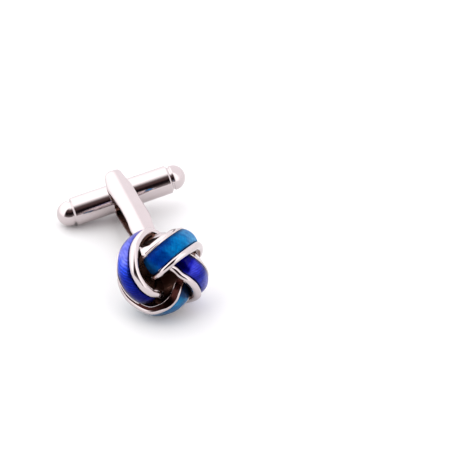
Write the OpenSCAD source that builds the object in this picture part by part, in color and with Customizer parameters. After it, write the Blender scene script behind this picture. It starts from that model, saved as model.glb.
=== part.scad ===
/* [Toggle] */
// Length of the bullet toggle from tip to tip
toggle_len = 20; // [19.5:0.1:20.5]
// Diameter of the toggle's middle
toggle_d = 4.3; // [4.1:0.1:4.4]
// Diameter of the stepped round ends
tip_d = 3.8; // [3.5:0.1:4]
// Length of each stepped end
tip_len = 2.1; // [1.9:0.1:2.4]
// Width of the groove between the middle and an end
groove_w = 0.3; // [0.2:0.05:0.4]
// Depth of that groove below the stepped end
groove_deep = 0.2; // [0.1:0.05:0.3]
// Bevel at each edge of the toggle's middle
toggle_bevel = 0.25; // [0.2:0.05:0.3]
// Turn of the toggle away from square to the post
toggle_turn = 1; // [0:0.5:2]

/* [Fork] */
// Distance from the pivot to the middle of the knot
post_len = 22.1; // [22:0.1:23]
// Outer height of the fork over its two arms
fork_h = 6.25; // [6.2:0.05:6.3]
// Outer height of the fork where the arms meet its foot
foot_h = 4.8; // [4.6:0.1:5]
// Length of the foot
foot_len = 1.4; // [1.2:0.1:1.6]
// Depth of the foot's sides below the arms' edges
foot_inset = 0.1; // [0.05:0.05:0.15]
// Width of an arm at its widest
arm_w = 3.4; // [3.3:0.1:3.5]
// Width of an arm at the foot
neck_w = 2.9; // [2.8:0.1:3.1]
// Distance from the pivot at which the arms start to narrow towards the foot
neck_from = 11.5; // [11:0.5:12.5]
// Thickness of an arm at its crown
arm_t = 0.87; // [0.85:0.01:0.9]
// Height of the crown of an arm's domed face
arm_crown = 0.4; // [0.3:0.05:0.5]
// Overhang of the arms past the pivot
arm_over = 3; // [2.8:0.1:3.1]
// Radius of an arm's round tip, seen from above
arm_tip_r = 1.15; // [1:0.05:1.3]
// Distance from the pivot, on the knot's side, at which the arms start to narrow towards their tips
taper_from = 2; // [2:0.5:3]
// Offset of the arms to the left of the rivet
arm_off = 0.15; // [0:0.05:0.2]
// Turn of the arms about the rivet, towards the knot's right side
arm_turn = 1.5; // [0:0.5:2]
// Offset of the foot to the right of the knot's middle
foot_off = 0.25; // [0:0.05:0.25]
// Radius of the tip's roll-off, seen from the side
roll_off_r = 2.5; // [2.3:0.1:2.7]
// Thickness of an arm at the end of its tip
tip_t = 0.4; // [0.3:0.05:0.5]
// Length of the arms' straight part on the knot's side of the pivot
arm_straight = 8; // [7.5:0.5:9]
// Radius of the round peg that seats the foot in the knot's back
peg_r = 1.1; // [1:0.1:1.2]
// Length of that peg
peg_len = 0.6; // [0.5:0.1:0.7]

/* [Pin] */
// Radius of the rivet
pin_r = 0.6; // [0.5:0.05:0.65]
// Depth to which the rivet goes into each arm
pin_in = 0.5; // [0.4:0.05:0.55]
// Radial clearance of the toggle on the rivet
pin_gap = 0.05; // [0.02:0.01:0.08]

/* [Knot] */
// Radius of the rounded body that the bands follow
knot_r = 6.3; // [6.2:0.05:6.4]
// Half depth of that body from front to back
knot_half = 4.2; // [4.1:0.05:4.3]
// Distance from the inner rim's middle to the enamel's outer edge
enamel_w = 2.97; // [2.9:0.01:3]
// Crown of the enamel over its edges
enamel_crown = 0.32; // [0.25:0.01:0.35]
// Depth of the enamel's edges below the rims
enamel_drop = 0.12; // [0.1:0.01:0.15]
// Thickness of the enamel at its edges
enamel_t = 0.4; // [0.35:0.05:0.45]
// Width of the outer rim's top
outer_rim_w = 0.3; // [0.25:0.05:0.4]
// Flare of the outer side below that rim
flare = 0.6; // [0.5:0.05:0.7]
// Thickness of a band
band_t = 1.2; // [1.1:0.05:1.3]
// Clearance around an inlay, a peg or a foot
seat_gap = 0.03; // [0.02:0.01:0.04]
// Thickness of the knot's round back
back_t = 0.8; // [0.7:0.05:0.9]
// Distance of the round back's rim inside the bands
back_inset = 0.75; // [0.6:0.05:0.9]
// Distance of the flat back behind the bands' middle
back_half = 3.6; // [3.4:0.1:3.8]
// Radius of the flat where the foot is seated
flat_r = 3; // [2.8:0.1:3]
// Thickness of that flat
flat_t = 1.2; // [1:0.1:1.4]

/* [Rest] */
// Pitch of the post, falling from the knot to the fork's tip
pitch = 7.5; // [7.4:0.05:7.6]
// Roll about the post, rising from the toggle's left end to its right end
roll = 10.15; // [10:0.05:10.3]

/* [Hidden] */

SILVER = "#d9d6d6";
BLUE = "#2a2cb8";
TURQUOISE = "#1272b8";
// Facets of a turned surface, of a rim's round end and of the knot's back
ROUND = 64;
BALL = 12;
BOWL = 36;

// Place of the pivot, with the floor at zero and the middle of the whole part over the origin
PIVOT = [0, 11.616, 3.43];

// Rows of one band, from its end at the central hole to its far end at the back.
// Their columns are the degrees swept round the knot, the radius and the height of the inner rim's top,
// the bank of the section in degrees, and half the width of the inner rim.
SWEEP = 0;
RADIUS = 1;
HEIGHT = 2;
BANK = 3;
HALF = 4;
ROWS = [
    [  0, 2.44,  3.28, 20.7, 0.41],
    [ 22, 2.38,  3.87, 19.6, 0.42],
    [ 48, 3.00,  4.23, 20.1, 0.46],
    [ 74, 4.19,  4.06, 22.1, 0.54],
    [ 96, 5.76,  2.93, 23.2, 0.59],
    [118, 6.59,  0.17, 13.4, 0.62],
    [142, 6.18, -1.78,  5.6, 0.60],
    [166, 4.83, -1.68, -4.4, 0.52],
];
LAST = len(ROWS) - 1;
// Angle at which the left band starts at the hole, seen from the knot's front.
// Each next band starts a quarter turn further on.
band_start = 230.4;
// Small differences of the left, top, right and bottom band, as in a piece finished by hand:
// a turn in degrees, a shift outward, a lift, a factor for the inner rim's width,
// and the row numbers at which the inner rim and the bed start
TURN = 0;
OUTWARD = 1;
LIFT = 2;
WIDTH = 3;
RIM_FROM = 4;
BED_FROM = 5;
BANDS = [
    [ 3.2,  0.09, -0.09, 1.24,  0.12,  0.55],
    [-1.7,  0.04, -0.01, 0.87,  0.10,  0.14],
    [-2.4, -0.11,  0.16, 1.03, -0.80, -0.78],
    [ 2.5, -0.18, -0.06, 0.96, -0.80, -0.78],
];
// Row numbers at which the enamel and the band end
enamel_to = 6.3;
band_to = 7;
// Gap between the ends of the bed and of the enamel, in rows
end_gap = 0.04;
// Row number up to which the sections keep one direction
steady_to = 1.3;
// Rows by which the outer edge starts later than the inner edge, and the row at which
// this slant has run out
slant = 0.9;
slant_to = 1.6;
// Sections from row to row, and the small step at which the band's direction is taken
row_steps = 4;
tiny = 0.01;
// Overlap of shapes that are one piece
lap = 0.1;
// Outlines in a section, as points across the band and outward: the top of a rim of half width one,
// the outer rim of width one from the enamel's edge, and the top of the enamel of width and crown one
RIM_TOP = [[-1, -0.85], [-0.72, -0.3], [-0.26, -0.03], [0.26, -0.03], [0.72, -0.3], [1, -0.8]];
OUTER_TOP = [[0, -0.18], [0.25, -0.12], [0.75, -0.12], [1, -0.2]];
DOME_TOP = [[0, 0], [0.2, 0.64], [0.5, 1], [0.8, 0.64], [1, 0]];
// Shares of a band's thickness and of a rim's half width at the chamfer below the rim
chamfer_from = 0.6;
chamfer_to = 0.7;
// Share of a band's thickness at which its outer side is widest
flare_to = 0.85;

// Derived sizes of the toggle, the fork and the knot's back
tip_r = tip_d/2;
crown_r = (pow(arm_w/2, 2) + pow(arm_crown, 2))/(2*arm_crown);
bed_low = -enamel_drop - enamel_t;
arm_gap = fork_h/2 - arm_t;
back_r = knot_r - back_inset;
bowl_half = back_half + back_t;
foot_y = back_half - post_len + seat_gap;
arm_tip_y = arm_over - arm_tip_r;
roll_off_y = arm_over - sqrt(pow(roll_off_r, 2) - pow(tip_t + roll_off_r - arm_t, 2));
to_tip = [arm_w/2, -taper_from - arm_tip_y];
touch = atan2(to_tip[1], to_tip[0]) + acos(arm_tip_r/norm(to_tip));
slope_len = -foot_y - foot_len - arm_straight;
arm_slope = atan((fork_h - foot_h)/2/slope_len);

// Row i of band k in the knot's axes: X to the toggle's right end, Y along the rivet, Z out of the front
function place_of(i, k) = let (
        r = ROWS[i],
        b = BANDS[k],
        a = band_start + b[TURN] - r[SWEEP],
        out = r[RADIUS] + b[OUTWARD])
    [out*cos(a), out*sin(a), r[HEIGHT] + b[LIFT], r[BANK], r[HALF]*b[WIDTH]];
function row_at(i, k) = i < 0 ? 2*place_of(0, k) - place_of(1, k)
    : i > LAST ? 2*place_of(LAST, k) - place_of(LAST - 1, k)
    : place_of(i, k);
// Smooth curve through the rows of band k, at row number u
function smooth(u, k) = let (
        i = max(0, min(floor(u), LAST - 1)),
        f = u - i,
        p0 = row_at(i - 1, k),
        p1 = row_at(i, k),
        p2 = row_at(i + 1, k),
        p3 = row_at(i + 2, k))
    0.5*(2*p1 + f*(p2 - p0) + f*f*(2*p0 - 5*p1 + 4*p2 - p3) + f*f*f*(3*p1 - p0 - 3*p2 + p3));
function xyz(v) = [v[0], v[1], v[2]];
function unit(v) = v/norm(v);
// Frame of the section at u: its origin, its direction across the band and its outward normal
function band_frame(u, k) = let (
        v = max(u, steady_to),
        here = smooth(v, k),
        p = xyz(here),
        along = unit(xyz(smooth(v + tiny, k)) - xyz(smooth(v - tiny, k))),
        raw = [p[0]/pow(knot_r, 2), p[1]/pow(knot_r, 2), p[2]/pow(knot_half, 2)],
        up = unit(raw - along*(raw*along)),
        side = cross(up, along),
        b = here[BANK])
    [xyz(smooth(u, k)), cos(b)*side - sin(b)*up, cos(b)*up + sin(b)*side];
// Point of the section at u: q is its place across the band and outward
function band_point(u, k, q) = let (
        v = u + max(0, q[0])/enamel_w*slant*max(0, 1 - u/slant_to),
        f = band_frame(v, k))
    f[0] + q[0]*f[1] + q[1]*f[2];

// Outline of the channel that holds the enamel, with its inner rim of half width h and its outer rim
function channel(h) = concat(
    [[-h*chamfer_to, -band_t], [-h, -band_t*chamfer_from]],
    h*RIM_TOP,
    [[h, bed_low - seat_gap], [enamel_w, bed_low - seat_gap]],
    [for (q = OUTER_TOP) [enamel_w + q[0]*outer_rim_w, q[1]]],
    [[enamel_w + outer_rim_w + flare, -band_t*flare_to], [enamel_w + flare, -band_t]]);
// Outline of the inner rim alone, a little inside the channel's
function rim_bar(h) = let (k = h - tiny)
    concat([[-k*chamfer_to, tiny - band_t], [-k, -band_t*chamfer_from]], k*RIM_TOP,
           [[k, -band_t*chamfer_from], [k*chamfer_to, tiny - band_t]]);
// Outline of an inlay with a crowned top
function inlay(h) = let (
        x0 = h + seat_gap,
        w = enamel_w - seat_gap - x0)
    concat([[x0, bed_low]],
           [for (q = DOME_TOP) [x0 + q[0]*w, q[1]*enamel_crown - enamel_drop]],
           [[x0 + w, bed_low]]);

// Solid whose sections run along band k from row u0 to row u1
module sweep(shape, k, u0, u1) {
    between = [for (i = [ceil(u0*row_steps):floor(u1*row_steps)]) i/row_steps];
    stations = concat([u0], [for (u = between) if (u > u0 + tiny && u < u1 - tiny) u], [u1]);
    steps = len(stations) - 1;
    rings = [for (u = stations)
        let (h = smooth(u, k)[HALF])
        [for (q = shape == "channel" ? channel(h) : shape == "rim" ? rim_bar(h) : inlay(h))
            band_point(u, k, q)]];
    m = len(rings[0]);
    sides = [for (i = [0:steps - 1], j = [0:m - 1], half = [0:1])
        let (a = i*m + j, b = i*m + (j + 1) % m)
        shape == "inlay" ? (half == 0 ? [a, b, b + m] : [a, b + m, a + m])
            : half == 0 ? [a, b, a + m] : [b, b + m, a + m]];
    first = [for (j = [m - 1:-1:0]) j];
    last = [for (j = [0:m - 1]) steps*m + j];
    polyhedron([for (r = rings) each r], concat([first], sides, [last]), convexity = 6);
}

// Round end of a rim of band k at row u: x across the band, r its radius, deep its depth
module rim_nose(u, k, x, r, deep) {
    hull() {
        translate(band_point(u, k, [x, -r])) sphere(r, $fn = BALL);
        translate(band_point(u, k, [x, r - deep])) sphere(r, $fn = BALL);
    }
}

// One band of metal, with the round ends of its rims
module band(k) {
    rim_from = BANDS[k][RIM_FROM];
    bed_from = BANDS[k][BED_FROM];
    sweep("channel", k, bed_from, band_to);
    if (bed_from > rim_from + tiny) sweep("rim", k, rim_from, bed_from + tiny);
    rim_nose(rim_from, k, 0, smooth(rim_from, k)[HALF] - 2*tiny, band_t - tiny);
    rim_nose(bed_from, k, enamel_w + outer_rim_w/2, outer_rim_w/2 - tiny, band_t*chamfer_from);
}

// Round back of the knot: a bowl behind the bands, flat where the foot is seated
module back_bowl() {
    rotate_extrude($fn = BOWL) {
        intersection() {
            difference() {
                scale([back_r, bowl_half]) circle(1, $fn = BOWL/2);
                scale([back_r - back_t, bowl_half - back_t]) circle(1, $fn = BOWL/2);
            }
            translate([0, -back_half]) square([back_r, back_half]);
        }
        translate([0, -back_half]) square([flat_r, flat_t]);
    }
}

// From the knot's axes to the axes of the cufflink, whose origin is the pivot
module at_knot() translate([0, -post_len, 0]) rotate([90, 0, 0]) children();
// From the axes of the cufflink to the part's frame, in which it lies on its knot, its lower arm
// and the toggle's left end
module lying() translate(PIVOT) rotate([-pitch, 0, 0]) rotate([0, -roll, 0]) children();
// Turn of the k-th band about the knot's axis
module turned(k) rotate([0, 0, -90*k]) children();

module knot_casting() {
    color(SILVER) lying() at_knot() difference() {
        union() {
            for (k = [0:3]) turned(k) band(k);
            back_bowl();
        }
        translate([0, 0, -back_half - peg_len])
            cylinder(h = 2*peg_len + seat_gap, r = peg_r + seat_gap, $fn = BOWL);
    }
}

module enamel(k) lying() at_knot() turned(k) sweep("inlay", k, BANDS[k][BED_FROM] + end_gap, enamel_to);
module enamel_blue_left() color(BLUE) enamel(0);
module enamel_turquoise_top() color(TURQUOISE) enamel(1);
module enamel_blue_right() color(BLUE) enamel(2);
module enamel_turquoise_bottom() color(TURQUOISE) enamel(3);

// Section of an arm, flat below and domed above
module arm_section() {
    intersection() {
        translate([-arm_w/2, 0]) square([arm_w, arm_t]);
        translate([0, arm_t - crown_r]) circle(crown_r, $fn = ROUND);
    }
}

// Space on the foot's side of the mitre where the upper arm bends
module past_bend() translate([0, -arm_straight, fork_h/2]) rotate([arm_slope/2, 0, 0])
    translate([-arm_w, -post_len, -fork_h/2]) cube([2*arm_w, post_len, fork_h]);

// Outline of an arm seen from above, narrower at its round tip and at the foot
module arm_plan() {
    translate([0, arm_tip_y]) circle(arm_tip_r, $fn = ROUND);
    side = [[arm_tip_r*cos(touch), arm_tip_y + arm_tip_r*sin(touch)], [arm_w/2, -taper_from],
        [arm_w/2, -neck_from], [neck_w/2, foot_y]];
    polygon([for (q = side) q, for (i = [len(side) - 1:-1:0]) [-side[i][0], side[i][1]]]);
}

// Side view of an arm's tip, rolled off at its end
module roll_off() {
    translate([-post_len, -fork_h]) square([post_len + roll_off_y, 2*fork_h]);
    translate([roll_off_y, fork_h/2 - roll_off_r]) circle(roll_off_r, $fn = ROUND);
}

// Upper arm of the fork, from its round tip to its foot
module arm() intersection() {
    linear_extrude(fork_h) arm_plan();
    union() {
        difference() {
            intersection() {
                translate([0, arm_over, arm_gap]) rotate([90, 0, 0])
                    linear_extrude(arm_over + arm_straight + arm_t) arm_section();
                translate([-arm_w, 0, 0]) rotate([90, 0, 90]) linear_extrude(2*arm_w) roll_off();
            }
            past_bend();
        }
        intersection() {
            translate([0, -arm_straight, fork_h/2]) rotate([90 + arm_slope, 0, 0])
                translate([0, -arm_t, -arm_t])
                    linear_extrude(arm_t + slope_len/cos(arm_slope) + foot_len/2) arm_section();
            past_bend();
        }
    }
}

// Block that joins the two arms, with the peg that seats it in the knot's back
module foot() {
    wide = neck_w - 2*foot_inset;
    high = foot_h - 2*arm_crown - foot_inset;
    translate([foot_off - wide/2, foot_y, -high/2]) cube([wide, foot_len, high]);
    translate([0, foot_y + lap, 0]) rotate([90, 0, 0])
        cylinder(h = lap + peg_len, r = peg_r, $fn = ROUND);
}

// Rivet of the given radius, let into both arms
module rivet(r) translate([0, 0, -arm_gap - pin_in])
    cylinder(h = 2*(arm_gap + pin_in), r = r, $fn = ROUND);

module fork() {
    color(SILVER) lying() difference() {
        union() {
            intersection() {
                translate([-arm_off, 0, 0]) rotate([0, 0, arm_turn]) {
                    arm();
                    mirror([0, 0, 1]) arm();
                }
                translate([-arm_w, foot_y, -fork_h]) cube([2*arm_w, post_len, 2*fork_h]);
            }
            foot();
        }
        rivet(pin_r);
    }
}

module pivot_pin() {
    color(SILVER) lying() rivet(pin_r);
}

// Half outline of the toggle, from its middle to its tip
module toggle_half() {
    mid = toggle_len/2 - tip_len - groove_w;
    round_y = toggle_len/2 - tip_r;
    polygon([[0, 0], [toggle_d/2, 0], [toggle_d/2, mid - toggle_bevel], [toggle_d/2 - toggle_bevel, mid],
             [0, mid]]);
    translate([0, mid - lap]) square([tip_r - groove_deep, groove_w + 2*lap]);
    translate([0, mid + groove_w]) square([tip_r, round_y + tiny - mid - groove_w]);
    translate([0, round_y]) intersection() {
        circle(tip_r, $fn = ROUND);
        square(tip_r);
    }
}

module toggle() {
    color(SILVER) lying() rotate([0, 0, -toggle_turn]) difference() {
        rotate([0, 90, 0]) rotate_extrude($fn = ROUND) {
            toggle_half();
            mirror([0, 1]) toggle_half();
        }
        rivet(pin_r + pin_gap);
    }
}

knot_casting();
enamel_blue_left();
enamel_turquoise_top();
enamel_blue_right();
enamel_turquoise_bottom();
fork();
pivot_pin();
toggle();
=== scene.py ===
import math

import bmesh
import bpy
import numpy as np
from mathutils import Matrix, Vector


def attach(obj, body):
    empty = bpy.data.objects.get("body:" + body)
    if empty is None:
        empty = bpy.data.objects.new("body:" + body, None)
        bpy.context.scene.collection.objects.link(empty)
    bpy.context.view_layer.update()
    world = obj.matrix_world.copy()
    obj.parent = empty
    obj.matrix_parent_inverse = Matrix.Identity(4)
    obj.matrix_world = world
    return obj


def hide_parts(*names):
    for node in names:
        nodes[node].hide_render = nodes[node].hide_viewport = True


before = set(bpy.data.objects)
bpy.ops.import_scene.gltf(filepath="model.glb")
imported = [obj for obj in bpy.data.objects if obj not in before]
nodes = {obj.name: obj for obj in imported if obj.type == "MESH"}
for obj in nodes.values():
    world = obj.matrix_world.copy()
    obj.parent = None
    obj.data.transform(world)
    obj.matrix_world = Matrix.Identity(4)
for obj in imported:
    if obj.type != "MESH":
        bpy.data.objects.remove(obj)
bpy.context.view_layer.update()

# ------------------------------------------------ sizes in mm, as in the part's source
# How the cufflink lies, the point that its toggle turns about, and the length from there
# to the knot's centre
PITCH, ROLL = math.radians(7.5), math.radians(10.15)
PIVOT = (0, 11.616, 3.43)
POST_LEN = 22.1
# Fork: height over both arms, the foot behind the knot and the foot's shift to the right
FORK_H, FOOT_H, FOOT_LEN, FOOT_INSET, FOOT_OFF = 6.25, 4.8, 1.4, 0.1, 0.25
# Arms: widths, thickness and crown, then length past the pivot, round-off at the tip with its
# thickness, and the straight length before the bend
ARM_W, NECK_W, ARM_T, ARM_CROWN = 3.4, 2.9, 0.87, 0.4
ARM_OVER, ROLL_OFF_R, TIP_T, ARM_STRAIGHT = 3.3, 2.5, 0.4, 8.0
PEG_R, PEG_LEN = 1.1, 0.6
# Knot: radius and half height of the form that the bands lie on, depth and walls of its back,
# and the flat that the peg sits in
KNOT_R, KNOT_HALF, BACK_HALF = 6.3, 4.2, 3.6
BACK_R, BACK_T, FLAT_R, FLAT_T = KNOT_R - 0.75, 0.8, 3.0, 1.2
# Sections of the bands: enamel with its crown, its drop below the rim and its thickness,
# outer rim, flare of the outer wall, thickness, and the gap all round a seated piece
ENAMEL_W, CROWN, DROP, ENAMEL_T = 2.97, 0.32, 0.12, 0.4
OUTER_W, FLARE, BAND_T = 0.3, 0.6, 1.2
SEAT_GAP = 0.03
BED_LOW = -DROP - ENAMEL_T
# Rows of a band: sweep in degrees, radius, height, bank in degrees, half width of the inner rim
ROWS = np.array([
    [0, 2.44, 3.28, 20.7, 0.41],
    [22, 2.38, 3.87, 19.6, 0.42],
    [48, 3.00, 4.23, 20.1, 0.46],
    [74, 4.19, 4.06, 22.1, 0.54],
    [96, 5.76, 2.93, 23.2, 0.59],
    [118, 6.59, 0.17, 13.4, 0.62],
    [142, 6.18, -1.78, 5.6, 0.60],
    [166, 4.83, -1.68, -4.4, 0.52],
])
LAST = len(ROWS) - 1
BAND_START = 230.4
# Left, top, right and bottom band: turn in degrees, shift outward, lift, factor for the inner
# rim's width, and the rows at which the inner rim and the bed start
BANDS = [
    (3.2, 0.09, -0.09, 1.24, 0.12, 0.55),
    (-1.7, 0.04, -0.01, 0.87, 0.10, 0.14),
    (-2.4, -0.11, 0.16, 1.03, -0.80, -0.78),
    (2.5, -0.18, -0.06, 0.96, -0.80, -0.78),
]
TOP, BOTTOM = 1, 3
# Added to the inner rim's half width where a band starts, and gone by this row
START_WIDER, WIDER_TO = [0, 0.09, 0.10, 0], 3
# Rows at which the enamel and the band end, and the gap at the enamel's ends, in rows
ENAMEL_TO, BAND_TO, END_GAP = 6.3, 7.0, 0.04
# Sections keep one direction up to the first row; the outer edge starts this much later than
# the inner edge, and the slant has run out at the last row
STEADY_TO, SLANT, SLANT_TO = 1.3, 0.9, 1.6
# Row at which the bottom band's flat wall has run out, over how many rows, and the degrees of
# the rim's round top that it takes
CUT_TO, CUT_OVER, CUT_TURN = 3.9, 1.8, 52
# Spread of the top band's outer wall at its start, gone by this row
SPREAD, SPREAD_TO = 1.1, 2.2
PER_ROW = 14
ROUND_POINTS, WALL_POINTS = 17, 7
TINY = 0.01

MM = 0.001
# Points nearer than this, in metres, are one; edges sharper than this angle stay sharp
SAME_POINT, SHARP = 2e-7, math.radians(40)
LYING = (Matrix.Translation(Vector(PIVOT)) @ Matrix.Rotation(-PITCH, 4, "X")
         @ Matrix.Rotation(-ROLL, 4, "Y"))
AT_KNOT = LYING @ Matrix.Translation((0, -POST_LEN, 0)) @ Matrix.Rotation(math.pi/2, 4, "X")


# ------------------------------------------------ camera
# Fitted in a frame whose Y is the way the camera looks; there the cufflink is turned, and its
# pivot is at PIVOT_SEEN
CAMERA_TILT, CAMERA_TURN, CAMERA_DISTANCE = 0.67001, math.radians(17.68), 263.766
PIVOT_SEEN = (-15.5, 2.968, 3.414)
FOCAL_PX, PICTURE_PX, SENSOR_MM = 1782.63, 452, 36


def make_camera():
    ahead = Vector((0, math.cos(CAMERA_TILT), -math.sin(CAMERA_TILT)))
    up = Vector((0, math.sin(CAMERA_TILT), math.cos(CAMERA_TILT)))
    seen = (Matrix.Translation(PIVOT_SEEN) @ Matrix.Rotation(CAMERA_TURN, 4, "Z")
            @ Matrix.Translation(-Vector(PIVOT)))
    back = seen.inverted()
    eye = back @ (-ahead*CAMERA_DISTANCE)
    ahead, up = back.to_3x3() @ ahead, back.to_3x3() @ up
    right = ahead.cross(up)
    m = Matrix((right, up, -ahead)).transposed().to_4x4()
    m.translation = eye*MM
    cam = bpy.data.cameras.new("camera")
    cam.sensor_fit, cam.sensor_width = "HORIZONTAL", SENSOR_MM
    cam.lens = FOCAL_PX/PICTURE_PX*SENSOR_MM
    cam.clip_start, cam.clip_end = 0.01, 20
    ob = bpy.data.objects.new("camera", cam)
    ob.matrix_world = m
    bpy.context.scene.collection.objects.link(ob)
    bpy.context.scene.camera = ob


make_camera()


# ------------------------------------------------ bands
def fade(u, to):
    """Goes from 1 at row 0 to 0 at row to."""
    return max(0, 1 - u/to)


def curve(p0, p1, p2, p3, f):
    """Point at f, from 0 to 1, between p1 and p2 on the smooth curve through all four."""
    return 0.5*(2*p1 + f*(p2 - p0) + f*f*(2*p0 - 5*p1 + 4*p2 - p3)
                + f**3*(3*p1 - p0 - 3*p2 + p3))


def row_at(k, i):
    """Row i of band k as x, y, height, bank and half width, with one more row past each end."""
    if i < 0:
        return 2*row_at(k, 0) - row_at(k, 1)
    if i > LAST:
        return 2*row_at(k, LAST) - row_at(k, LAST - 1)
    sweep, radius, height, bank, half = ROWS[i]
    turn, out, lift, width = BANDS[k][:4]
    a = math.radians(BAND_START + turn - sweep)
    r = radius + out
    wider = START_WIDER[k]*fade(i, WIDER_TO)
    return np.array([r*math.cos(a), r*math.sin(a), height + lift, bank, half*width + wider])


def smooth(k, u):
    i = max(0, min(math.floor(u), LAST - 1))
    return curve(*(row_at(k, i + j) for j in (-1, 0, 1, 2)), u - i)


def band_frame(k, u):
    """Origin, sideways and outward direction of the section of band k at row u."""
    v = max(u, STEADY_TO)
    here = smooth(k, v)
    along = smooth(k, v + TINY)[:3] - smooth(k, v - TINY)[:3]
    along /= np.linalg.norm(along)
    raw = here[:3]/np.array([KNOT_R**2, KNOT_R**2, KNOT_HALF**2])
    up = raw - along*(raw @ along)
    up /= np.linalg.norm(up)
    side = np.cross(up, along)
    b = math.radians(here[3])
    return (smooth(k, u)[:3], math.cos(b)*side - math.sin(b)*up,
            math.cos(b)*up + math.sin(b)*side)


def band_point(k, u, x, y):
    o, s, n = band_frame(k, u + max(0, x)/ENAMEL_W*SLANT*fade(u, SLANT_TO))
    return o + x*s + y*n


def arc(cx, cy, r, a0, a1, n):
    return [(cx + r*math.cos(math.radians(a)), cy + r*math.sin(math.radians(a)))
            for a in np.linspace(a0, a1, n)]


def rim_top(h):
    """Inner rim: its under side at the hole, then its round top towards the enamel."""
    under = [(-0.7*h, -BAND_T), (-0.9*h, -BAND_T*0.75), (-h, -BAND_T*0.55)]
    return under + arc(0, -h, h, 180, 0, ROUND_POINTS)


def rim_cut(h, cut):
    """Inner rim with a steep flat wall towards the hole, which takes more of it as cut nears 1."""
    top = 180 - CUT_TURN*cut
    x, y = h*math.cos(math.radians(top)), -h + h*math.sin(math.radians(top))
    under = [(-0.7*h, -BAND_T), (-1.02*h, -1.16), (-1.08*h, -1.09)]
    wall = [(-h + (x + h)*q, -1.02 + (1.0 + y)*q) for q in np.linspace(0, 1, WALL_POINTS)]
    return under + wall + arc(0, -h, h, top, 0, ROUND_POINTS)


def channel(h, rim, flare):
    """Section of the metal channel: inner rim of half width h, bed, outer rim, under side."""
    o0, o1 = ENAMEL_W, ENAMEL_W + OUTER_W
    bed, r = BED_LOW - SEAT_GAP, OUTER_W/2
    return (rim
            + [(h, bed), (h + 0.02, bed), (o0 - 0.02, bed), (o0, bed)]
            + arc(o0 + r, -DROP - r, r, 180, 0, 9)
            + [(o1 + flare*0.45, -BAND_T*0.5), (o1 + flare*0.85, -BAND_T*0.72),
               (o1 + flare, -BAND_T*0.85), (o1 + flare*0.9, -BAND_T*0.95),
               (o0 + flare, -BAND_T)])


def rim_only(h):
    return rim_top(h) + [(h, -BAND_T*0.55), (0.9*h, -BAND_T*0.75), (0.7*h, -BAND_T)]


def inlay(h):
    """Section of the enamel, crowned and drawn down a little at its two edges."""
    x0 = h + SEAT_GAP
    w = ENAMEL_W - SEAT_GAP - x0
    top = []
    for q in np.linspace(0, 1, ROUND_POINTS):
        edge = min(q, 1 - q)*w
        top.append((x0 + q*w, CROWN*4*q*(1 - q) - DROP - 0.04*math.exp(-edge/0.05)))
    return [(x0, BED_LOW)] + top + [(x0 + w, BED_LOW)]


class Builder:
    """Collects vertices in mm and faces of one object."""
    def __init__(self):
        self.v, self.f, self.slots, self.row, self.across = [], [], [], [], []

    def rings(self, rings, cap0=True, cap1=True, inner=(), wall=(), rows=None):
        """Skin over closed rings of points. The strips of faces that start at the points inner
        take the second material, and those at wall the third. rows holds each ring's row."""
        m, n = len(rings[0]), len(rings)
        for slot, strips in ((1, inner), (2, wall)):
            for j in strips:
                first = len(self.f) + j % m
                self.slots += [(first + i*m, slot) for i in range(n - 1)]
        b = len(self.v)
        for r, row in zip(rings, rows or [0]*n):
            self.v += [tuple(p) for p in r]
            self.row += [row]*m
            self.across += [min(1, max(0, (j - 1)/(m - 3))) for j in range(m)]
        for i in range(b, b + (n - 1)*m, m):
            for j in range(m):
                j2 = (j + 1) % m
                self.f.append((i + j, i + j2, i + m + j2, i + m + j))
        if cap0:
            self.f.append(tuple(b + j for j in range(m - 1, -1, -1)))
        if cap1:
            self.f.append(tuple(b + (n - 1)*m + j for j in range(m)))

    def make(self, name, matrix):
        me = bpy.data.meshes.new(name)
        me.from_pydata([tuple(c*MM for c in (matrix @ Vector(p))) for p in self.v], [], self.f)
        for i, slot in self.slots:
            me.polygons[i].material_index = slot
        for place, values in (("row", self.row), ("across", self.across)):
            me.attributes.new(place, "FLOAT", "POINT").data.foreach_set("value", values)
        me.validate()
        mesh = bmesh.new()
        mesh.from_mesh(me)
        bmesh.ops.remove_doubles(mesh, verts=mesh.verts, dist=SAME_POINT)
        bmesh.ops.recalc_face_normals(mesh, faces=mesh.faces)
        mesh.to_mesh(me)
        mesh.free()
        ob = bpy.data.objects.new(name, me)
        bpy.context.scene.collection.objects.link(ob)
        for p in me.polygons:
            p.use_smooth = True
        me.set_sharp_from_angle(angle=SHARP)
        return ob


def rows_between(u0, u1):
    inner = [i/PER_ROW for i in range(math.ceil(u0*PER_ROW), math.floor(u1*PER_ROW) + 1)]
    return [u0] + [u for u in inner if u0 + TINY < u < u1 - TINY] + [u1]


def turned(rings, k):
    """Rings of band k, turned from the first band's place to its own."""
    a = math.radians(-90*k)
    c, s = math.cos(a), math.sin(a)
    return [[(p[0]*c - p[1]*s, p[0]*s + p[1]*c, p[2]) for p in r] for r in rings]


def channel_of(k, u, h):
    """The top band's outer wall spreads at its start; the bottom band's rim is cut to a wall."""
    rim, flare = rim_top(h), FLARE
    if k == TOP:
        flare += SPREAD*fade(u, SPREAD_TO)
    if k == BOTTOM:
        cut = min(1, max(0, (CUT_TO - u)/CUT_OVER))
        rim = rim_cut(h, cut*cut*(3 - 2*cut))
    return channel(h, rim, flare)


def sections(k, outline, u0, u1):
    rings = []
    for u in rows_between(u0, u1):
        h = smooth(k, u)[4]
        shape = channel_of(k, u, h) if outline is channel else outline(h)
        rings.append([band_point(k, u, x, y) for x, y in shape])
    return turned(rings, k)


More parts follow.
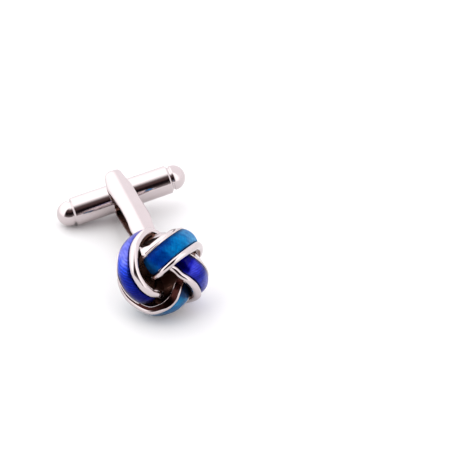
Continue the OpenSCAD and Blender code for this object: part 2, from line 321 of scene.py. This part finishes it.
def nose(k, u, h):
    """Rounded end of the inner rim, before row u."""
    o, s, n = band_frame(k, u)
    along = np.cross(s, n)
    ahead = smooth(k, u + TINY)[:3] - smooth(k, u)[:3]
    if along @ ahead > 0:
        along = -along
    low = h - BAND_T
    rings = []
    for t in np.radians(np.linspace(88, 0, 9)):
        c, d = math.cos(t), math.sin(t)
        ring = []
        for x, y in rim_only(h):
            if y > -h:
                y = -h + (y + h)*c
            elif y <= low:
                y = low + (y - h + BAND_T)*c
            ring.append(o + x*c*s + y*n + along*h*d)
        rings.append(ring)
    return turned(rings, k)


def back_bowl(casting):
    """Plain round back: its outer profile to the middle, then its inner one back to the edge."""
    high = BACK_HALF + BACK_T
    outer = [(BACK_R*math.cos(a), -high*math.sin(a))
             for a in np.linspace(0, math.asin(BACK_HALF/high), 24)]
    outer.append((0.001, -BACK_HALF))
    inner = []
    for a in np.linspace(math.pi/2*0.999, 0, 24):
        r, z = (BACK_R - BACK_T)*math.cos(a), -max(0, (high - BACK_T)*math.sin(a))
        inner.append((r, max(z, -BACK_HALF + FLAT_T) if r < FLAT_R else z))
    profile = outer + inner
    rings = [[(r*math.cos(t), r*math.sin(t), z) for r, z in profile]
             for t in np.linspace(0, 2*math.pi, 97)]
    casting.rings(rings, cap0=False, cap1=False, inner=range(len(outer), len(profile) - 1))


def make_casting():
    casting = Builder()
    for k, band in enumerate(BANDS):
        rim_from, bed_from = band[4:]
        # Painted shade, as dark brown metal, under the band, and deeper painted shade on the
        # bottom band's flat wall, which follows the rim's three points at its under side
        casting.rings(sections(k, channel, bed_from, BAND_TO), inner=(-1, 0),
                      wall=range(3, 3 + WALL_POINTS) if k == BOTTOM else ())
        if bed_from > rim_from + TINY:
            casting.rings(sections(k, rim_only, rim_from, bed_from + 0.02), inner=(-1, 0, -2))
        casting.rings(nose(k, rim_from, smooth(k, rim_from)[4]))
    back_bowl(casting)
    return casting.make("casting", AT_KNOT)


ENAMELS = ["blue_left", "turquoise_top", "blue_right", "turquoise_bottom"]


def make_inlay(k, name):
    b = Builder()
    ends = BANDS[k][5] + END_GAP, ENAMEL_TO
    b.rings(sections(k, inlay, *ends), rows=rows_between(*ends))
    return b.make("inlay_" + name, AT_KNOT)


casting = make_casting()
inlays = [make_inlay(k, name) for k, name in enumerate(ENAMELS)]


# ------------------------------------------------ fork
ARM_GAP = FORK_H/2 - ARM_T
FOOT_Y = BACK_HALF - POST_LEN + SEAT_GAP
SLOPE = (FORK_H - FOOT_H)/2/(-FOOT_Y - FOOT_LEN - ARM_STRAIGHT)
CROWN_R = ((ARM_W/2)**2 + ARM_CROWN**2)/(2*ARM_CROWN)
ROLL_Y = ARM_OVER - math.sqrt(ROLL_OFF_R**2 - (TIP_T + ROLL_OFF_R - ARM_T)**2)
# Half length of the eased bend, rounding of the arms' edges, the lower arm's shift to the
# right, and rounding of the foot's edges
EASE, ARM_EDGE, LOWER_ASIDE, FOOT_EDGE = 0.8, 0.12, 0.2, 0.2


def bend(y):
    """Drop of the arm past its bend, eased over the bend."""
    t = -ARM_STRAIGHT - y
    return SLOPE*(t if t > EASE else 0 if t < -EASE else (t + EASE)**2/(4*EASE))


def arm_top(x, y):
    """Height of the crowned face, which rolls off at the tip."""
    roll = 0
    if y >= ROLL_Y:
        roll = ROLL_OFF_R - math.sqrt(max(0, ROLL_OFF_R**2 - (y - ROLL_Y)**2))
    return FORK_H/2 - bend(y) - roll - (CROWN_R - math.sqrt(CROWN_R**2 - x*x))


# Outline of an arm from its tip to the foot, (x, y) on its right and on its left side
RIGHT_SIDE = [
    (0.08, 3.38), (0.64, 3.18), (1.03, 2.52), (1.22, 1.4), (1.38, 0), (1.58, -1.3),
    (1.68, -3), (1.75, -5.5), (1.84, -8), (1.93, -10), (1.95, -11.2), (1.85, -12.4),
    (1.68, -13.7), (1.62, -15.5), (1.62, -18.44)]
LEFT_SIDE = [
    (0.08, 3.38), (-0.52, 3.22), (-1.06, 2.64), (-1.47, 1.6), (-1.7, 0.5), (-1.86, -0.8),
    (-1.8, -3), (-1.68, -5), (-1.58, -6.5), (-1.52, -8), (-1.48, -10), (-1.5, -11.2),
    (-1.58, -12.4), (-1.57, -13.7), (-1.35, -15.5), (-1.12, -18.44)]


def spline(pts, per=6):
    """Smooth curve through the points, as points with unit normals on its left-hand side."""
    p = np.array([2*np.array(pts[0]) - pts[1], *pts, 2*np.array(pts[-1]) - pts[-2]])
    out, way = [], []
    for i in range(1, len(p) - 2):
        for f in np.linspace(0, 1, per, endpoint=i == len(p) - 3):
            p0, p1, p2, p3 = p[i-1:i+3]
            out.append(curve(p0, p1, p2, p3, f))
            way.append(0.5*((p2 - p0) + 2*f*(2*p0 - 5*p1 + 4*p2 - p3)
                            + 3*f*f*(3*p1 - p0 - 3*p2 + p3)))
    return [(x, y, -wy/math.hypot(wx, wy), wx/math.hypot(wx, wy))
            for (x, y), (wx, wy) in zip(out, way)]


def arm_side(x, y, nx, ny, out):
    """Points of an arm's side from its inner face to its crowned face, and where that begins.
    (nx, ny) is the outline's normal, and out is 1 or -1 where it points out of or into the arm."""
    low, high = ARM_GAP - bend(y), arm_top(x, y)
    edge = min(ARM_EDGE, 0.3*(high - low))
    steps = [(edge*(1 - math.sin(t)), low + edge*(1 - math.cos(t)))
             for t in np.radians([0, 30, 60, 90])]
    steps += [(edge*(1 - math.cos(t)), high - edge + edge*math.sin(t))
              for t in np.radians([0, 22, 45, 67])]
    pts = [(x - out*inset*nx, y - out*inset*ny, z) for inset, z in steps]
    return pts, (x - out*edge*nx, y - out*edge*ny)


def arm(up, aside):
    """Rings of the upper (up 1) or lower (up -1) arm from its tip to the foot."""
    rings = []
    for right, left in zip(spline(RIGHT_SIDE), spline(LEFT_SIDE)):
        r_pts, (rx, ry) = arm_side(*right, 1)
        l_pts, (lx, ly) = arm_side(*left, -1)
        face = [(lx + (rx - lx)*q, ly + (ry - ly)*q) for q in np.linspace(0, 1, ROUND_POINTS)]
        ring = l_pts + [(x, y, arm_top(x, y)) for x, y in face] + r_pts[::-1]
        rings.append([(x + aside, y, up*z) for x, y, z in ring])
    return rings


def make_fork():
    fork = Builder()
    # The arms' inner faces take the second material, painted shade between the arms
    fork.rings(arm(1, 0), cap0=False, inner=(-1,))
    fork.rings(arm(-1, LOWER_ASIDE), cap0=False, inner=(-1,))
    wide, high = NECK_W/2 - FOOT_INSET, (FOOT_H - 2*ARM_CROWN - FOOT_INSET)/2
    block = arc(wide - FOOT_EDGE, high - FOOT_EDGE, FOOT_EDGE, 0, 90, 5)
    block += [(-x, z) for x, z in block[::-1]]
    block += [(-x, -z) for x, z in block]
    peg = arc(0, 0, PEG_R, 0, 352.5, 48)
    fork.rings([[(x + FOOT_OFF, y, z) for x, z in block] for y in (FOOT_Y, FOOT_Y + FOOT_LEN)])
    fork.rings([[(x, y, z) for x, z in peg] for y in (FOOT_Y - PEG_LEN, FOOT_Y + 0.1)])
    return fork.make("fork_polished", LYING)


fork = make_fork()


# ------------------------------------------------ materials
# Places of a colour mix's two inputs and of its output
COLOUR_A, COLOUR_B, COLOUR_OUT = 6, 7, 2


class Tree:
    """Short way to add and join shader nodes."""
    def __init__(self, tree):
        self.n, self.l = tree.nodes, tree.links

    def add(self, kind, **kw):
        node = self.n.new("ShaderNode" + kind)
        for k, v in kw.items():
            if hasattr(node, k):
                setattr(node, k, v)
            else:
                self.put(v, node.inputs[k.replace("_", " ")])
        return node

    def put(self, v, socket):
        if isinstance(v, bpy.types.NodeSocket):
            self.l.new(v, socket)
        else:
            socket.default_value = v

    def math(self, op, a, b=0.0):
        node = self.add("Math", operation=op)
        for v, s in zip((a, b), node.inputs):
            self.put(v, s)
        return node.outputs[0]

    def ramp(self, fac, stops, mode="EASE"):
        node = self.n.new("ShaderNodeValToRGB")
        node.color_ramp.interpolation = mode
        el = node.color_ramp.elements
        while len(el) < len(stops):
            el.new(0.5)
        for e, (at, col) in zip(el, stops):
            e.position = at
            e.color = (*col, 1)
        self.put(fac, node.inputs[0])
        return node.outputs["Color"]

    def remap(self, v, a, b, c, d):
        """Goes smoothly from c to d as v goes from a to b."""
        node = self.add("MapRange", interpolation_type="SMOOTHSTEP")
        for x, s in zip((v, a, b, c, d), node.inputs):
            self.put(x, s)
        return node.outputs[0]

    def mix(self, fac, a, b, blend="MIX"):
        node = self.add("Mix", data_type="RGBA", blend_type=blend)
        self.put(fac, node.inputs["Factor"])
        for colour, place in ((a, COLOUR_A), (b, COLOUR_B)):
            self.put((*colour, 1) if isinstance(colour, tuple) else colour, node.inputs[place])
        return node.outputs[COLOUR_OUT]

    def bump(self, height, strength, distance, under=None):
        node = self.add("Bump", Strength=strength, Distance=distance, Height=height)
        if under:
            self.put(under, node.inputs["Normal"])
        return node.outputs[0]

    def noise(self, where, scale, detail, rough=0.5, distortion=0.0):
        return self.add("TexNoise", Vector=where, Scale=scale, Detail=detail, Roughness=rough,
                        Distortion=distortion).outputs["Fac"]


def principled(name):
    mat = bpy.data.materials.new(name)
    mat.use_nodes = True
    t = Tree(mat.node_tree)
    return mat, t, t.n["Principled BSDF"]


def polished(name):
    """Bright plate with faint clouds, smears and fine unevenness."""
    mat, t, p = principled(name)
    where = t.add("TexCoord").outputs["Object"]
    cloud = t.noise(where, 350, 2)
    t.put(t.mix(cloud, (0.56, 0.49, 0.495), (0.59, 0.525, 0.53)), p.inputs["Base Color"])
    p.inputs["Metallic"].default_value = 1
    smear = t.noise(where, 900, 4, 0.6)
    t.put(t.remap(smear, 0.3, 0.75, 0.04, 0.11), p.inputs["Roughness"])
    t.put(t.bump(t.noise(where, 2600, 3, 0.6), 0.05, 0.00006), p.inputs["Normal"])
    return mat


def enamel(name, metallic, rough, coat, lined, stops):
    """Clear enamel over bright metal. Its colour changes from row to row as stops says: partly its
    own tint, partly painted shade and painted highlights. lined is the strength of the fine lines."""
    mat, t, p = principled(name)
    where = t.add("TexCoord").outputs["Object"]
    row = t.add("Attribute", attribute_name="row").outputs["Fac"]
    across = t.add("Attribute", attribute_name="across").outputs["Fac"]
    drift = t.noise(where, 300, 2)
    at = t.math("DIVIDE", t.math("ADD", row, t.remap(drift, 0.3, 0.7, -0.3, 0.3)), RAMP_ROWS)
    # Painted shade and painted highlights along the band, over the enamel's own tint
    tint_and_painted_light = t.ramp(at, [(u/RAMP_ROWS, c) for u, c in stops])
    # Soft clouds
    cloud = t.noise(where, 620, 4, 0.62, 0.5)
    mottle = t.ramp(cloud, [(0.32, (0.5, 0.55, 0.68)), (0.68, (1.4, 1.5, 1.3))], "LINEAR")
    wave = t.add("TexWave", Vector=where, Scale=620.0, Distortion=5.0, Detail=2.0,
                 Detail_Scale=1.5, bands_direction="DIAGONAL").outputs["Fac"]
    mottle = t.mix(t.math("MULTIPLY", wave, 0.22), mottle, (0.4, 0.4, 0.5), "MULTIPLY")
    # Fine slanting lines, as engraved in the metal under the enamel, fainter up the band
    slant = t.math("ADD", t.math("MULTIPLY", row, 33.0), t.math("MULTIPLY", across, -24.0))
    swing = t.math("MULTIPLY", t.noise(where, 900, 4, 0.6), 13.0)
    lines = t.math("SINE", t.math("ADD", slant, swing))
    hatch = t.mix(1.0, mottle, t.remap(lines, -0.6, 0.9, 1 - lined, 1 + 0.9*lined), "MULTIPLY")
    mottle = t.mix(t.remap(row, 4.2, 4.9, 1.0, 0.3), mottle, hatch)
    # Painted shade at both edges, darkest towards the outer rim, and a painted highlight in the
    # middle
    edge = t.ramp(across, [
        (0.0, (0.85, 0.85, 0.9)), (0.12, (1.0, 1.0, 1.0)), (0.5, (1.1, 1.1, 1.08)),
        (0.78, (0.95, 0.95, 0.97)), (0.94, (0.45, 0.45, 0.5))])
    mottle = t.mix(1.0, mottle, edge, "MULTIPLY")
    # mottle now also holds the painted edge shade
    t.put(t.mix(1.0, tint_and_painted_light, mottle, "MULTIPLY"), p.inputs["Base Color"])
    for socket, value in (("Metallic", metallic), ("Roughness", rough),
                          ("Specular IOR Level", 0.0), ("Coat Weight", coat),
                          ("Coat Roughness", 0.05), ("Coat IOR", 1.5)):
        p.inputs[socket].default_value = value
    # Uneven foil below, fine grain on it, and a smooth coat over both
    foil = t.bump(t.noise(where, 480, 1), 0.5, 0.0004)
    beat = t.bump(t.noise(where, 1900, 3, 0.65), 0.6, 0.00009, foil)
    t.put(beat, p.inputs["Normal"])
    t.put(t.bump(t.noise(where, 700, 2), 0.1, 0.0001), p.inputs["Coat Normal"])
    return mat


def painted_shade_metal(name, deep, bright, rough):
    """Dark brown metal with clouds, which paints the shade inside the knot, under the bands and
    between the fork's arms, and a deeper shade on the bottom band's flat wall.
    """
    mat, t, p = principled(name)
    where = t.add("TexCoord").outputs["Object"]
    cloud = t.noise(where, 700, 3, 0.6)
    t.put(t.mix(cloud, deep, bright), p.inputs["Base Color"])
    p.inputs["Metallic"].default_value = 1
    t.put(t.remap(cloud, 0.3, 0.7, rough, rough + 0.15), p.inputs["Roughness"])
    t.put(t.bump(t.noise(where, 1400, 3, 0.6), 0.3, 0.0001), p.inputs["Normal"])
    return mat


# Row at which a ramp of colours ends
RAMP_ROWS = 6.5
plate = polished("silver_plate")
casting_metals = [
    plate,
    # Dark brown metal that paints the shade in the knot's hollows, under the bands and between the
    # arms
    painted_shade_metal("painted_shade_brown", (0.075, 0.028, 0.018), (0.25, 0.13, 0.10), 0.25),
    # A darker copy for the bottom band's flat wall: painted shade
    painted_shade_metal("painted_deep_shade", (0.003, 0.001, 0.001), (0.07, 0.021, 0.018), 0.10)]
# Each ramp paints shade and highlights along its band, mostly darker near the knot's middle and
# lighter further out, over the enamel's own tint
coats = [
    enamel("blue_left", 1.0, 0.36, 0.06, 0.28, [
        (1.5, (0.0, 0.001, 0.09)), (2.6, (0.001, 0.003, 0.13)), (3.6, (0.006, 0.018, 0.32)),
        (4.2, (0.022, 0.055, 0.56)), (4.7, (0.13, 0.135, 0.58)), (5.2, (0.09, 0.10, 0.46)),
        (5.7, (0.12, 0.09, 0.34))]),
    enamel("turquoise_top", 0.5, 0.5, 0.04, 0.05, [
        (0.5, (0.0, 0.026, 0.09)), (1.1, (0.0, 0.055, 0.21)), (2.0, (0.0, 0.034, 0.28)),
        (2.9, (0.0, 0.052, 0.30)), (3.5, (0.0, 0.15, 0.43)), (4.1, (0.004, 0.14, 0.38)),
        (4.7, (0.06, 0.25, 0.50))]),
    enamel("blue_right", 0.9, 0.36, 0.14, 0.25, [
        (0.4, (0.0, 0.0, 0.14)), (0.9, (0.003, 0.004, 0.30)), (1.6, (0.03, 0.035, 0.44)),
        (2.1, (0.016, 0.02, 0.38)), (2.6, (0.004, 0.008, 0.22)), (3.2, (0.02, 0.03, 0.32)),
        (3.8, (0.10, 0.10, 0.40))]),
    enamel("turquoise_bottom", 0.8, 0.42, 0.22, 0.05, [
        (0.5, (0.003, 0.014, 0.05)), (1.0, (0.003, 0.040, 0.13)), (1.5, (0.006, 0.145, 0.32)),
        (2.2, (0.02, 0.18, 0.40)), (3.0, (0.05, 0.17, 0.34)), (3.6, (0.09, 0.15, 0.26))]),
]

for node in ("pivot_pin", "toggle"):
    nodes[node].data.materials.clear()
    nodes[node].data.materials.append(plate)


def dress(ob, node, materials):
    for material in materials:
        ob.data.materials.append(material)
    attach(ob, "head")
    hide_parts(node)


dress(casting, "knot_casting", casting_metals)
dress(fork, "fork", casting_metals)
for name, ob, coat in zip(ENAMELS, inlays, coats):
    dress(ob, "enamel_" + name, [coat])


# ------------------------------------------------ floor and light
def make_floor():
    bpy.ops.mesh.primitive_plane_add(size=3)
    floor = bpy.context.object
    floor.name = "floor"
    mat, _, p = principled("floor_white")
    p.inputs["Base Color"].default_value = (0.9, 0.9, 0.905, 1)
    p.inputs["Roughness"].default_value = 0.9
    p.inputs["Specular IOR Level"].default_value = 0.0
    floor.data.materials.append(mat)


def make_studio():
    """A white tent all round and overhead, with one dark opening in front. Angles in degrees,
    as seen by the camera."""
    world = bpy.data.worlds.new("studio")
    bpy.context.scene.world = world
    world.use_nodes = True
    t = Tree(world.node_tree)
    back = t.n["Background"]
    where = t.add("TexCoord").outputs["Generated"]

    def along(v):
        node = t.add("VectorMath", operation="DOT_PRODUCT")
        t.put(where, node.inputs[0])
        node.inputs[1].default_value = v
        return node.outputs["Value"]

    c, s = math.cos(CAMERA_TURN), math.sin(CAMERA_TURN)
    right, front, behind = (c, -s, 0), (-s, -c, 0), (s, c, 0)
    azimuth = t.math("DEGREES", t.math("ARCTAN2", along(right), along(front)))
    height = t.math("DEGREES", t.math("ARCSINE", along((0, 0, 1))))
    # The dark opening, a little left of the middle, and its colours from the floor up
    aside = t.math("ABSOLUTE", t.math("SUBTRACT", azimuth, -6.0))
    dark = t.math("MULTIPLY", t.remap(aside, 28, 44, 1, 0), t.remap(height, 62, 90, 1, 0))
    tint = t.ramp(t.math("DIVIDE", height, 90), [
        (0.0, (0.42, 0.38, 0.385)), (0.10, (0.24, 0.21, 0.21)), (0.20, (0.06, 0.045, 0.045)),
        (0.31, (0.010, 0.006, 0.008)), (0.42, (0.014, 0.008, 0.009)),
        (0.50, (0.08, 0.044, 0.044)), (0.62, (0.12, 0.078, 0.078)), (0.74, (0.22, 0.18, 0.18))])
    # The tent's right and rear walls are a little dimmer than its left wall, and so is its foot
    rear = t.math("DEGREES", t.math("ARCTAN2", along(right), along(behind)))
    dim = t.math("MULTIPLY", t.remap(rear, -20, -10, 0, 1), t.remap(rear, 100, 130, 1, 0))
    low = t.remap(height, 0, 24, 1, 0)
    wall = t.mix(dim, (2.0, 2.0, 2.0), (1.42, 1.39, 1.43))
    wall = t.mix(t.math("MULTIPLY", low, 0.35), wall, (1.12, 1.07, 1.09))
    t.put(t.mix(dark, wall, tint), back.inputs["Color"])
    back.inputs["Strength"].default_value = 1.0


make_floor()
make_studio()
bpy.context.scene.view_settings.view_transform = "Standard"
